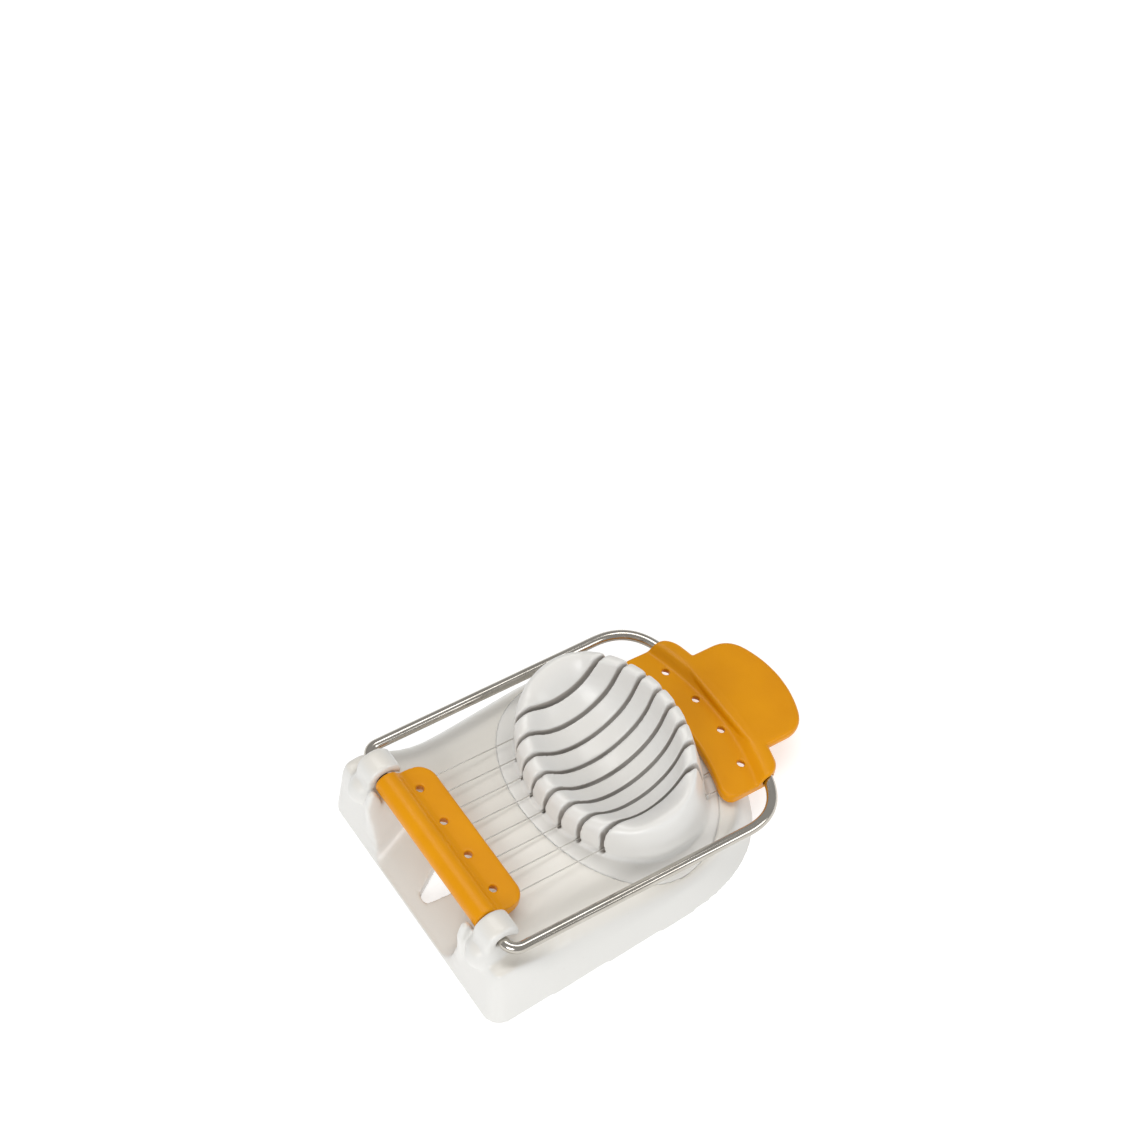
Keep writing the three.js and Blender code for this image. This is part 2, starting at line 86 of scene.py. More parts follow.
# Egg-shaped outlines: middle x, length behind, length ahead, half width, powers behind and ahead.
DOME_FOOT = (15.7, 24.0, 21.7, 29.5, 2.0, 2.3)
DOME_RIM = (14.5, 22.0, 19.7, 29.0, 2.1, 1.95)
FLANGE = (14.4, 26.7, 26.7, 35.4, 2.0, 2.0)
DISH_X, DISH_Z = 12.5, 36.5
DISH_LONG, DISH_WIDE, DISH_DEEP = 18.2, 26.3, 19.8
LAST_RIB = 20.9

# How far out along the hinge axis the hooks start, and the bore for the bail in them.
LUG_INNER = 24.6
BORE_RADIUS = 1.85

# Front bar, bail and wires: their front ends lie on arcs about one centre, ahead of the hinge.
# The wires run a little below the frame's plane.
ARC_CENTRE = 16.1
BAIL_ARC = 77.4
WIRE_TIP_ARC = 69
WIRE_DROP = 2.2


# ---- modelling by hand --------------------------------------------------------------------


def pick(thing):
    """Selects one object alone and makes it the active one."""
    bpy.ops.object.select_all(action="DESELECT")
    thing.select_set(True)
    bpy.context.view_layer.objects.active = thing


def raise_rings(name, rings):
    """Extrudes a disc through a stack of rings, so that it becomes a closed solid."""
    bpy.ops.object.select_all(action="DESELECT")
    bpy.ops.mesh.primitive_circle_add(vertices=len(rings[0]), fill_type="NGON")
    solid = bpy.context.object
    solid.name = name
    for vertex, point in zip(solid.data.vertices, rings[0]):
        vertex.co = point
    spots = {tuple(vertex.co): i for i, vertex in enumerate(solid.data.vertices)}
    bpy.ops.object.mode_set(mode="EDIT")
    bpy.ops.mesh.select_all(action="SELECT")
    for ring in rings[1:]:
        bpy.ops.mesh.extrude_region_move()
        edit = bmesh.from_edit_mesh(solid.data)
        lifted = [(vertex, spots[tuple(vertex.co)]) for vertex in edit.verts if vertex.select]
        for vertex, i in lifted:
            vertex.co = ring[i]
        spots = {tuple(vertex.co): i for vertex, i in lifted}
        bmesh.update_edit_mesh(solid.data)
    bpy.ops.mesh.select_all(action="SELECT")
    bpy.ops.mesh.normals_make_consistent(inside=False)
    bpy.ops.object.mode_set(mode="OBJECT")
    return solid


def raise_plan(name, plan, low, high):
    """A plan outline raised from one height to another."""
    return raise_rings(name, [[(x, y, z) for x, y in plan] for z in (low, high)])


def spread_profile(name, profile, start, end):
    """A side profile in x and z spread from one y to another."""
    return raise_rings(name, [[(x, y, z) for x, z in profile] for y in (start, end)])


def rod(radius, place, axis, length, sides=48):
    """A plain round tool, used to join or cut."""
    turn = {"X": (0, math.pi / 2, 0), "Y": (math.pi / 2, 0, 0), "Z": (0, 0, 0)}[axis]
    bpy.ops.object.select_all(action="DESELECT")
    bpy.ops.mesh.primitive_cylinder_add(
        vertices=sides, radius=radius, depth=length, location=place, rotation=turn
    )
    bpy.ops.object.transform_apply(location=True, rotation=True, scale=True)
    return bpy.context.object


def apply_modifier(thing, kind, **settings):
    pick(thing)
    modifier = thing.modifiers.new(kind.title(), kind)
    for key, value in settings.items():
        setattr(modifier, key, value)
    bpy.ops.object.modifier_apply(modifier=modifier.name)


def combine(body, tool, operation):
    apply_modifier(body, "BOOLEAN", object=tool, operation=operation, solver="EXACT")
    bpy.data.objects.remove(tool)


def join(body, *tools):
    for tool in tools:
        combine(body, tool, "UNION")


def cut(body, *tools):
    for tool in tools:
        combine(body, tool, "DIFFERENCE")


def round_over(body, width, segments=4):
    """Rounds the sharp edges of a body."""
    apply_modifier(
        body, "BEVEL", width=width, segments=segments, limit_method="ANGLE",
        angle_limit=math.radians(40), use_clamp_overlap=True,
    )


def mould(body, grain, passes, most=180_000):
    """Gives a body the softened edges of a moulding, in faces of one grain size."""
    apply_modifier(body, "REMESH", mode="VOXEL", voxel_size=grain, adaptivity=0)
    apply_modifier(body, "SMOOTH", factor=0.5, iterations=passes)
    triangles = 2 * len(body.data.polygons)
    if triangles > most:
        apply_modifier(body, "DECIMATE", ratio=most / triangles)


def soften_where(body, passes, strength):
    """Smooths a body more where a rule says so."""
    group = body.vertex_groups.new(name="soft")
    for vertex in body.data.vertices:
        weight = strength(vertex.co)
        if weight > 0:
            group.add([vertex.index], min(weight, 1), "REPLACE")
    apply_modifier(body, "SMOOTH", factor=0.5, iterations=passes, vertex_group="soft")
    body.vertex_groups.clear()


def finish_piece(piece, place, body, slot, material, *nodes):
    """Puts a finished piece in the shared frame, on its body and in place of its nodes."""
    piece.data.transform(place)
    piece.data.materials.clear()
    piece.data.materials.append(material)
    pick(piece)
    bpy.ops.object.shade_smooth_by_angle(angle=math.radians(50))
    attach(piece, body)
    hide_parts(*nodes)


def lerp(a, b, t):
    return a + (b - a) * t


def soft_min(a, b, blend):
    """The lower of two heights, with the corner between them rounded."""
    near = max(blend - abs(a - b), 0) / blend
    return min(a, b) - near * near * blend / 4


def arc(cx, cy, radius, start, end, steps):
    """Points of a circular arc, given in degrees."""
    turns = [math.radians(lerp(start, end, i / steps)) for i in range(steps + 1)]
    return [(cx + radius * math.cos(t), cy + radius * math.sin(t)) for t in turns]


# ---- finishes -----------------------------------------------------------------------------


class Value:
    """A number that varies over a surface. Arithmetic on it adds Math nodes."""

    def __init__(self, finish, socket):
        self.finish = finish
        self.socket = socket

    def _with(self, operation, first, second):
        node = self.finish.node("ShaderNodeMath", {"operation": operation}, {0: first, 1: second})
        return Value(self.finish, node.outputs[0])

    def __add__(self, other):
        return self._with("ADD", self, other)

    __radd__ = __add__

    def __sub__(self, other):
        return self._with("SUBTRACT", self, other)

    def __rsub__(self, other):
        return self._with("SUBTRACT", other, self)

    def __mul__(self, other):
        return self._with("MULTIPLY", self, other)

    __rmul__ = __mul__

    def __mod__(self, other):
        return self._with("FLOORED_MODULO", self, other)

    def __abs__(self):
        return self._with("ABSOLUTE", self, 0)


class Finish:
    """A material whose look is mixed from nodes over the piece's own coordinates."""

    def __init__(self, name, **constants):
        self.material = bpy.data.materials.new(name)
        self.material.use_nodes = True
        self.tree = self.material.node_tree
        self.shader = self.tree.nodes["Principled BSDF"]
        for key, value in constants.items():
            self.shader.inputs[key.replace("_", " ")].default_value = value
        self.place = self.node("ShaderNodeTexCoord").outputs["Object"]

    def node(self, kind, settings=None, inputs=None):
        node = self.tree.nodes.new(kind)
        for key, value in (settings or {}).items():
            setattr(node, key, value)
        for key, value in (inputs or {}).items():
            self.feed(node.inputs[key], value)
        return node

    def feed(self, socket, value):
        if isinstance(value, Value):
            value = value.socket
        if isinstance(value, bpy.types.NodeSocket):
            self.tree.links.new(value, socket)
        else:
            socket.default_value = value

    def stretched(self, x, y, z):
        """The piece's coordinates, scaled along each axis."""
        node = self.node("ShaderNodeMapping", {}, {"Vector": self.place, "Scale": (x, y, z)})
        return node.outputs[0]

    def clouds(self, scale, detail=3, roughness=0.5, over=None):
        """Soft noise from 0 to 1, with a scale in blotches per metre."""
        node = self.node(
            "ShaderNodeTexNoise", {},
            {
                "Vector": over or self.place,
                "Scale": scale,
                "Detail": detail,
                "Roughness": roughness,
            },
        )
        return Value(self, node.outputs["Fac"])

    def band(self, value, low, high, to_low=0.0, to_high=1.0):
        """A value brought from one range to another, and held there."""
        ranges = {"From Min": low, "From Max": high, "To Min": to_low, "To Max": to_high}
        node = self.node("ShaderNodeMapRange", {"clamp": True}, {"Value": value, **ranges})
        return Value(self, node.outputs[0])

    def blend(self, share, first, second):
        """One colour turning into another."""
        node = self.node("ShaderNodeMix", {"data_type": "RGBA"}, {0: share, 6: first, 7: second})
        return node.outputs[2]

    def bump(self, height, distance, strength=1.0, over=None):
        inputs = {"Height": height, "Distance": distance, "Strength": strength}
        if over is not None:
            inputs["Normal"] = over
        return self.node("ShaderNodeBump", {}, inputs).outputs[0]

    def surface(self, **looks):
        for key, value in looks.items():
            self.feed(self.shader.inputs[key.replace("_", " ")], value)
        return self.material


def slot_shade(finish):
    """1 on the walls of the wire slots, where painted brown shade darkens the plastic, and 0
    elsewhere.
    """
    split = finish.node("ShaderNodeSeparateXYZ", {}, {0: finish.place})
    x, y = Value(finish, split.outputs["X"]), Value(finish, split.outputs["Y"])
    spacing = WIRE_SPACING * MM
    off_slot = abs((y + 10 * spacing) % spacing - spacing / 2)
    on_slot = finish.band(off_slot, 0.5 * MM, 0.68 * MM, 1, 0)
    dome_middle, dome_length, dome_half = 14.5 * MM, 22.8 * MM, 29.5 * MM
    along = (x - dome_middle - stand_place.x) * (1 / dome_length)
    across = y * (1 / dome_half)
    in_dome = finish.band(along * along + across * across, 0.93, 1.0, 1, 0)
    among_slots = finish.band(abs(y), 21.5 * MM, 21.8 * MM, 1, 0)
    return on_slot * in_dome * among_slots


def white_moulding(name, tint, shade, paint_slot_shade=False, painted_warm_bounce=0.0):
    """White plastic: nearly even, with faint flow marks, handling haze and a fine mould grain."""
    finish = Finish(name, Coat_Roughness=0.12, Coat_IOR=1.45)
    flow = finish.clouds(38, 2, 0.45, finish.stretched(1.0, 0.45, 1.0))
    haze = finish.clouds(210, 4, 0.6)
    grain = finish.clouds(2600, 2, 0.5)
    specks = finish.band(finish.clouds(900, 1, 0.4), 0.74, 0.8)
    colour = finish.blend(finish.band(flow, 0.3, 0.7) * 0.8, tint, shade)
    colour = finish.blend(specks * 0.08, colour, (0.45, 0.42, 0.37, 1))
    # Upward-facing faces are blended towards beige: painted warm bounce light from the orange bars,
    # not a colour of the plastic.
    if painted_warm_bounce:
        facing = finish.node("ShaderNodeNewGeometry").outputs["Normal"]
        upward = Value(finish, finish.node("ShaderNodeSeparateXYZ", {}, {0: facing}).outputs["Z"])
        colour = finish.blend(finish.band(upward, 0.6, 1.0) * painted_warm_bounce, colour, (0.76, 0.70, 0.60, 1))
    # Painted shade: the slot walls are darkened towards brown through the slot_shade mask, standing
    # in for the shade inside the slots.
    if paint_slot_shade:
        colour = finish.blend(slot_shade(finish) * 0.7, colour, (0.16, 0.115, 0.08, 1))
    gloss = finish.band(haze, 0.25, 0.75, 0.3, 0.42) + specks * 0.1
    relief = finish.bump(grain, 0.00002, 0.35)
    relief = finish.bump(flow, 0.0003, 0.12, relief)
    return finish.surface(
        Base_Color=colour, Roughness=gloss, Coat_Weight=finish.band(haze, 0.2, 0.8, 0.22, 0.12),
        Normal=relief,
    )


def amber_moulding(name):
    """Orange plastic: deeper where the flow gathers, finely scratched along the bar."""
    finish = Finish(name, Coat_Roughness=0.12, Coat_IOR=1.4, Specular_IOR_Level=0.18)
    flow = finish.clouds(55, 3, 0.5)
    haze = finish.clouds(340, 4, 0.6)
    rub = finish.clouds(1, 3, 0.7, finish.stretched(4200, 260, 900))
    grain = finish.clouds(3200, 2, 0.5)
    bright, deep, rubbed = (0.775, 0.318, 0.0, 1), (0.70, 0.272, 0.0, 1), (0.88, 0.42, 0.02, 1)
    colour = finish.blend(finish.band(flow, 0.3, 0.7), bright, deep)
    colour = finish.blend(finish.band(rub, 0.62, 0.8) * 0.12, colour, rubbed)
    gloss = finish.band(haze, 0.25, 0.75, 0.3, 0.41) + finish.band(rub, 0.6, 0.8) * 0.08
    relief = finish.bump(grain, 0.00002, 0.4)
    relief = finish.bump(rub, 0.00001, 0.25, relief)
    return finish.surface(
        Base_Color=colour, Roughness=gloss, Coat_Weight=finish.band(haze, 0.2, 0.8, 0.07, 0.03),
        Normal=relief,
    )


def drawn_steel(name, tint, shade, smooth, rough, stretch):
    """Drawn wire: bright, with fine die lines along its length and dull patches."""
    finish = Finish(name)
    lines = finish.clouds(1, 3, 0.6, finish.stretched(*stretch))
    patches = finish.clouds(120, 3, 0.6)
    colour = finish.blend(finish.band(patches, 0.3, 0.75), tint, shade)
    gloss = finish.band(patches, 0.3, 0.7, smooth, rough) + finish.band(lines, 0.4, 0.7) * 0.06
    relief = finish.bump(lines, 0.000008, 0.3)
    return finish.surface(Base_Color=colour, Metallic=1.0, Roughness=gloss, Normal=relief)


# Upward faces of both white plastics get painted warm bounce light, stronger on the base than on
# the cradle.
base_white = white_moulding(
    "base white plastic", (0.745, 0.738, 0.71, 1), (0.725, 0.717, 0.69, 1), painted_warm_bounce=0.5
)
# The cradle's wire slots also get painted brown shade.
cradle_white = white_moulding(
    "cradle white plastic", (0.76, 0.753, 0.73, 1), (0.735, 0.725, 0.70, 1), paint_slot_shade=True, painted_warm_bounce=0.2
)
amber = amber_moulding("amber plastic")
bail_steel = drawn_steel(
    "polished bail steel", (0.56, 0.53, 0.48, 1), (0.46, 0.43, 0.38, 1),
    smooth=0.07, rough=0.14, stretch=(30, 2600, 2600),
)
wire_steel = drawn_steel(
    "cutting wire steel", (0.62, 0.60, 0.56, 1), (0.50, 0.48, 0.44, 1),
    smooth=0.25, rough=0.38, stretch=(60, 6000, 6000),
)


# ---- base tray ----------------------------------------------------------------------------


def shoulder_share(x):
    return math.exp(-(((x - SHOULDER_X) / SHOULDER_SPREAD) ** 2))


def floor_outline():
    """The tray's outline on the table, from the middle of its bowed front round to the rear."""
    points = []
    bow_steps = 34
    for i in range(bow_steps + 1):
        turn = math.pi / 2 * i / bow_steps
        ahead = abs(math.cos(turn)) ** (2 / BOW_POWER)
        across = math.sin(turn) ** (2 / BOW_POWER)
        points.append((BOW_START + BOW_LENGTH * ahead, FLOOR_HALF * across))
    corner_x = REAR_EDGE + REAR_CORNER
    corner_y = REAR_HALF - REAR_CORNER
    for i in range(1, 14):
        along = i / 14
        points.append((lerp(BOW_START, corner_x, along), lerp(FLOOR_HALF, REAR_HALF, along)))
    points += arc(corner_x, corner_y, REAR_CORNER, 90, 180, 10)
    points += [(REAR_EDGE, corner_y * (1 - i / 8)) for i in range(1, 8)]
    return points + [(REAR_EDGE, 0.0)] + [(x, -y) for x, y in reversed(points[1:])]


def inset_outline(outline, distance, share=0.0):
    """The outline moved inwards, square to itself, by a distance and a share of the wall."""
    moved = []
    for i, (x, y) in enumerate(outline):
        before, after = outline[i - 1], outline[(i + 1) % len(outline)]
        along = Vector((after[0] - before[0], after[1] - before[1])).normalized()
        inset = distance + share * (WALL_INSET - 1.5 * shoulder_share(x))
        moved.append((x - along.y * inset, y + along.x * inset))
    return moved


def crown_height(x):
    """Height of the deck along the centre plane: a low hump behind, then down to the front."""
    return soft_min(17.7 - 0.06 * (x + 9), 17.7 - 0.173 * (x + 9), 1)


def rim_height(x):
    return RIM_HEIGHT - 0.01 * x + SHOULDER_RISE * shoulder_share(x)


def deck_height(x, y):
    across = min(abs(y) / DECK_HALF, 1)
    return lerp(crown_height(x), rim_height(x), 0.55 * across**2 + 0.45 * across**6)


def tray(name, shares, shrink=0, lower=0, floor=None):
    """The tray as a full solid, or, shrunk and lowered, the hollow under it. The shares say
    where its wall rings stand between the foot and the deck."""
    outline = floor_outline()
    rings = [] if floor is None else [[(x, y, floor) for x, y in inset_outline(outline, shrink)]]
    for share in shares:
        ring = []
        for x, y in inset_outline(outline, shrink, share):
            blend = 2.6 + 4 * shoulder_share(x)
            height = soft_min(rim_height(x) * share, deck_height(x, y) - lower, blend)
            ring.append((x, y, max(height, 0)))
        rings.append(ring)
    last = rings[-1]
    for pull in (0.03, 0.07, 0.12, 0.18, 0.26, 0.35, 0.46, 0.58, 0.7, 0.82, 0.94):
        shrunk = [(lerp(x, 0, pull), lerp(y, 0, pull)) for x, y, _ in last]
        rings.append([(x, y, deck_height(x, y) - lower) for x, y in shrunk])
    return raise_rings(name, rings)


def well(name, grow):
    """The well behind and under the hinge bar, to be cut away: its floor is a ramp."""
    profile = [(1.2, -47.6), (3.5, -43.8), (6, -39.6), (8, -36.2), (9.6, -34.4), (11.5, -33)]
    profile += [(14, -31.6), (17, -30.2), (19.5, -29.3), (22, -29), (40, -29)]
    rings = []
    for height, front in profile:
        half = 17.2 + 0.24 * min(height, 24) + grow
        edge = front + grow - 4
        ring = [(REAR_EDGE - 10, -half)] + arc(edge, 4 - half, 4, -90, 0, 8)
        ring += arc(edge, half - 4, 4, 0, 90, 8) + [(REAR_EDGE - 10, half)]
        rings.append([(x, y, height - grow) for x, y in ring])
    return raise_rings(name, rings)


def lug(side):
    """A hook for the bail: round at the top, open towards the front and below."""
    inner, outer, radius, foot = LUG_INNER, 31.5, 5.1, 12
    mouth_width, mouth_angle, reach, through = 3.3, 38, 10.4, 20
    profile = [(HINGE_X - radius, foot), (HINGE_X + 3.4, foot)]
    profile += arc(HINGE_X, HINGE_Z, radius, -48, 180, 36)
    ends = sorted((side * inner, side * outer))
    hook = spread_profile("hook", profile, *ends)
    round_over(hook, 2.3, 5)
    bpy.ops.object.select_all(action="DESELECT")
    bpy.ops.mesh.primitive_cube_add(size=1)
    mouth = bpy.context.object
    mouth.data.transform(Matrix.Diagonal((reach, through, mouth_width, 1)))
    mouth.data.transform(Matrix.Translation((reach / 2, 0, 0)))
    mouth.data.transform(Matrix.Rotation(math.radians(mouth_angle), 4, "Y"))
    mouth.data.transform(Matrix.Translation((HINGE_X, side * 28, HINGE_Z)))
    cut(hook, mouth)
    return hook


def fin(side):
    """The lip that stands at each end of the well, behind the hook."""
    profile = [(-47.0, 8), (-42.4, 8), (-42.4, 22.5), (-43.1, 25.2), (-44.2, 26.4)]
    profile += [(-45.4, 25.8), (-47.0, 21)]
    ends = sorted((side * 21.2, side * 23.6))
    return spread_profile("fin", profile, *ends)


def block_swell(side):
    """The swell of the block behind and under its hook."""
    bpy.ops.object.select_all(action="DESELECT")
    bpy.ops.mesh.primitive_uv_sphere_add(segments=48, ring_count=32, radius=1)
    swell = bpy.context.object
    centre, half_sizes = (-42.2, side * 28.3, 19.6), (5.9, 4.8, 5.2)
    swell.data.transform(Matrix.Translation(centre) @ Matrix.Diagonal((*half_sizes, 1)))
    return swell


def oval(outline, shrink, height, count=144):
    """A closed ring on an egg-shaped outline."""
    middle, behind, ahead, half, power_behind, power_ahead = outline
    ring = []
    for i in range(count):
        cosine, sine = math.cos(2 * math.pi * i / count), math.sin(2 * math.pi * i / count)
        power = 2 / (power_ahead if cosine > 0 else power_behind)
        reach = (ahead if cosine > 0 else behind) - shrink
        x = middle + reach * math.copysign(abs(cosine) ** power, cosine)
        y = (half - shrink) * math.copysign(abs(sine) ** power, sine)
        ring.append((x, y, height(x, y)))
    return ring


def seat(name, outline, grow, depth):
    """A plug that follows the deck, to cut the cradle's seat."""
    def under(x, y):
        return deck_height(x, y) - depth

    rings = [oval(outline, 12, under), oval(outline, 6, under), oval(outline, -grow, under)]
    return raise_rings(name, rings + [oval(outline, -grow, lambda x, y: 45)])


def hanging_hole():
    behind = arc(-41.9, 0, 2.5, 100, 260, 12)
    ahead = arc(-38.0, 0, 5.0, -75, 75, 22)
    return raise_plan("hanging hole", behind + ahead, -5, 20)


WALL_SHARES = (0, 0.2, 0.4, 0.6, 0.74, 0.84, 0.92, 1.0, 1.08, 1.18, 1.3, 1.42)
HOLLOW_SHARES = (0, 0.25, 0.5, 0.7, 0.85)
WALL, DECK = 2.2, 3
base = tray("base_shell", WALL_SHARES)
opening = [(x, y) for x, y, _ in oval(DOME_FOOT, -0.5, deck_height)]
cut(base, seat("flange seat", FLANGE, -0.04, 1.75), raise_plan("cradle opening", opening, -3, 46))
cut(base, well("well", 0), rod(5.9, (HINGE_X, 0, HINGE_Z), "Y", 2 * LUG_INNER, 64))
join(base, block_swell(-1), block_swell(1), lug(-1), lug(1), fin(-1), fin(1))
hollow = tray("hollow", HOLLOW_SHARES, WALL, DECK, -1)
cut(hollow, well("ramp underside", WALL))
cut(base, hollow, rod(BORE_RADIUS, (HINGE_X, 0, HINGE_Z), "Y", 70, 40), hanging_hole())
mould(base, 0.42, 3)


def well_edge(point):
    """How much the well is rounded: fully at its sides, not at its hole, hooks and fins."""
    beside = min(1 - (abs(point.y) - 19.5) / 5, max((abs(point.y) - 7) / 3, 0.22))
    behind = 1 - max(point.x + 30, 0) / 4
    low = 1 - max(point.z - 18.5, 0) / 2
    return min(beside, behind, low, (point.z - 1.5) / 1.5, 1)


def hook_edge(point):
    """How much the hooks and fins melt into the blocks that carry them."""
    near_hinge = 1 - max(point.x + 35.5, 0) / 2
    return min(max(point.z - 15.5, 0) / 3, max(near_hinge, 0), 1) if abs(point.y) > 20 else 0


def foot_edge(point):
    """How much the tray's foot is rounded, where it meets the table."""
    return 2 - point.z


soften_where(base, 34, well_edge)
soften_where(base, 24, hook_edge)
soften_where(base, 9, foot_edge)
finish_piece(base, TO_STAND, "stand", "base_plastic", base_white, "base")


# ---- egg cradle ---------------------------------------------------------------------------


def rim_plane(x):
    return 27.4 + 0.232 * x


def wire_height(x):
    tilt = math.radians(CLOSED_TILT)
    return HINGE_Z - WIRE_DROP / math.cos(tilt) - (x - HINGE_X) * math.tan(tilt)


def dish_top(x, y):
    """Height of the cradle's top: its sloping rim, rolled over into the egg dish."""
    across = min(abs(y), LAST_RIB)
    inside = 1 - ((x - DISH_X) / DISH_LONG) ** 2 - (across / DISH_WIDE) ** 2
    if inside <= 0:
        return rim_plane(x)
    dish = soft_min(rim_plane(x), DISH_Z - DISH_DEEP * math.sqrt(inside), 3.4)
    outwards = min(max(abs(y) - LAST_RIB, 0) / 6.5, 1)
    return lerp(dish, rim_plane(x), 1 - (1 - outwards) ** 1.7)


def dome():
    """The cradle's outside and dish in one skin, from its skirt up, over the rim and down."""
    rings = [oval(DOME_FOOT, 0, lambda x, y: deck_height(x, y) - 4.5)]
    rings.append(oval(DOME_FOOT, 0, lambda x, y: deck_height(x, y) - 0.4))
    rings.append(oval(DOME_FOOT, -0.25, lambda x, y: deck_height(x, y) + 0.3))
    rings.append(oval(DOME_FOOT, 0.3, lambda x, y: deck_height(x, y) + 1.2))
    low, high = oval(DOME_FOOT, 0.5, deck_height), oval(DOME_RIM, 0, lambda x, y: rim_plane(x))
    edge = 2.2
    for rise in (0.2, 0.4, 0.6, 0.8, 0.92):
        ring = []
        for (x0, y0, z0), (x1, y1, z1) in zip(low, high):
            bulge = 0.5 * math.sin(math.pi * rise)
            x, y = lerp(x0, x1, rise), lerp(y0, y1, rise)
            out = Vector((x - 14.5, y)).normalized() * bulge
            ring.append((x + out.x, y + out.y, lerp(z0, z1 - edge, rise)))
        rings.append(ring)
    for turn in (0, 15, 30, 45, 60, 75, 90):
        inset = edge * (1 - math.cos(math.radians(turn)))
        drop = edge * (1 - math.sin(math.radians(turn)))
        rings.append(oval(DOME_RIM, inset, lambda x, y: dish_top(x, y) - drop))
    last = rings[-1]
    pulls = (0.025, 0.05, 0.08, 0.11, 0.15, 0.2, 0.26, 0.33, 0.41, 0.5, 0.6, 0.7, 0.8, 0.9, 0.97)
    for pull in pulls:
        flat = [(lerp(x, DISH_X, pull), lerp(y, 0, pull)) for x, y, _ in last]
        rings.append([(x, y, dish_top(x, y)) for x, y in flat])
    return raise_rings("cradle_dome", rings)


def cradle_hollow():
    """The space under the cradle, which leaves its walls and the dish's shell."""
    wall, shell_thickness, below_rim = 2.6, 3.2, 4
    low = oval(DOME_FOOT, wall, lambda x, y: -1)
    middle = oval(DOME_FOOT, wall, deck_height)
    high = oval(DOME_RIM, wall, lambda x, y: rim_plane(x) - below_rim)
    space = raise_rings("space", [low, middle, high])
    bpy.ops.object.select_all(action="DESELECT")
    bpy.ops.mesh.primitive_uv_sphere_add(segments=96, ring_count=64, radius=1)
    shell = bpy.context.object
    sizes = [size + shell_thickness for size in (DISH_LONG, DISH_WIDE, DISH_DEEP)]
    shell.data.transform(Matrix.Translation((DISH_X, 0, DISH_Z)) @ Matrix.Diagonal((*sizes, 1)))
    cut(space, shell)
    return space


def slot_tool(y):
    """Cuts the slot that one wire drops through, as long as the dome's foot."""
    middle, behind, ahead, half, power_behind, power_ahead = DOME_FOOT
    rear = middle - behind * (1 - abs(y / half) ** power_behind) ** (1 / power_behind) - 0.2
    front = middle + ahead * (1 - abs(y / half) ** power_ahead) ** (1 / power_ahead) + 0.4
    under_wire, over_rim, half_width = 1.7, 50, 0.52
    profile = [(rear, wire_height(rear) - under_wire), (front, wire_height(front) - under_wire)]
    profile += [(front, over_rim), (rear, over_rim)]
    return spread_profile("slot", profile, y - half_width, y + half_width)


def flange():
    def under(x, y):
        return deck_height(x, y) - 1.5

    rings = [oval(DOME_FOOT, 4, under), oval(FLANGE, 0, under), oval(FLANGE, 0, deck_height)]
    return raise_rings("flange", rings + [oval(DOME_FOOT, 4, deck_height)])


cradle = dome()
cradle.name = "slotted_cradle"
join(cradle, flange())
cut(cradle, cradle_hollow(), *[slot_tool(y) for y in WIRE_ROWS])
mould(cradle, 0.34, 2)


def rib_edge(point):
    """How much the cradle's edges are rounded: most at its crest, not at all in the flange."""
    above = (point.z - deck_height(point.x, point.y) - 0.6) / 1.5
    crest = (point.z - rim_plane(point.x) + 4) / 3
    end_piece = (abs(point.y) - 21.4) / 1.5
    return min(max(above, 0), 0.16 + 0.84 * min(max(crest, end_piece, 0), 1), 1)


soften_where(cradle, 24, rib_edge)
finish_piece(cradle, TO_STAND, "stand", "cradle_plastic", cradle_white, "egg_cradle")


# ---- bail ---------------------------------------------------------------------------------


def along_arc(radius, y):
    return ARC_CENTRE + math.sqrt(radius**2 - y**2)


def bend(start, corner, end, steps):
    """A smooth bend from one point to another, pulled towards a corner."""
    points = []
    for i in range(1, steps + 1):
        t = i / steps
        a, b, c = (1 - t) ** 2, 2 * t * (1 - t), t * t
        points.append(tuple(a * p + b * q + c * r for p, q, r in zip(start, corner, end)))
    return points


def bail_path():
    """The bail's centreline in the frame's plane, from one turned-in end to the other."""
    arm, front_arm, radius, half = 35.0, 35.6, 3.6, 25.8
    slope = half / math.sqrt(BAIL_ARC**2 - half**2)
    arc_end = (along_arc(BAIL_ARC, half), half)
    corner = (arc_end[0] - (front_arm - half) * slope, front_arm)
    points = [(0, 13), (0, 22), (0, arm - radius)]
    points += [(x, y + arm - radius) for x, y in reversed(arc(radius, 0, radius, 90, 180, 10)[:-1])]
    points += [(lerp(radius, 74.5, i / 12), lerp(arm, front_arm, i / 12)) for i in range(1, 13)]
    points += bend((74.5, front_arm), corner, arc_end, 16)
    rows = [half * (1 - i / 16) for i in range(1, 17)]
    points += [(along_arc(BAIL_ARC, y), y) for y in rows]
    return points + [(x, -y) for x, y in reversed(points[:-1])]


def sweep(name, path, radius, sides=28):
    """A round section drawn along a path that lies in the frame's plane."""
    rings = []
    for i, (x, y) in enumerate(path):
        before, after = path[max(i - 1, 0)], path[min(i + 1, len(path) - 1)]
        along = Vector((after[0] - before[0], after[1] - before[1])).normalized()
        ring = []
        for k in range(sides):
            turn = 2 * math.pi * k / sides
            out, up = radius * math.cos(turn), radius * math.sin(turn)
            ring.append((x - along.y * out, y + along.x * out, up))
        rings.append(ring)
    return raise_rings(name, rings)


bail = sweep("bail_rod", bail_path(), 1.5)
round_over(bail, 0.35, 3)
finish_piece(bail, TO_FRAME, "cutting_frame", "bail_steel", bail_steel, "bail_wire")


# ---- bars ---------------------------------------------------------------------------------


def rear_section():
    """Section of the hinge bar: a barrel that runs out into a flat plate."""
    points = arc(11.2, -1.9, 1.3, -90, 0, 6) + arc(11.2, -0.7, 1.3, 0, 90, 6)
    points += bend((6.0, 0.6), (3.9, 0.75), (3.05, 1.72), 6)
    points += arc(0, 0, 3.5, 32, 268, 40)
    return points


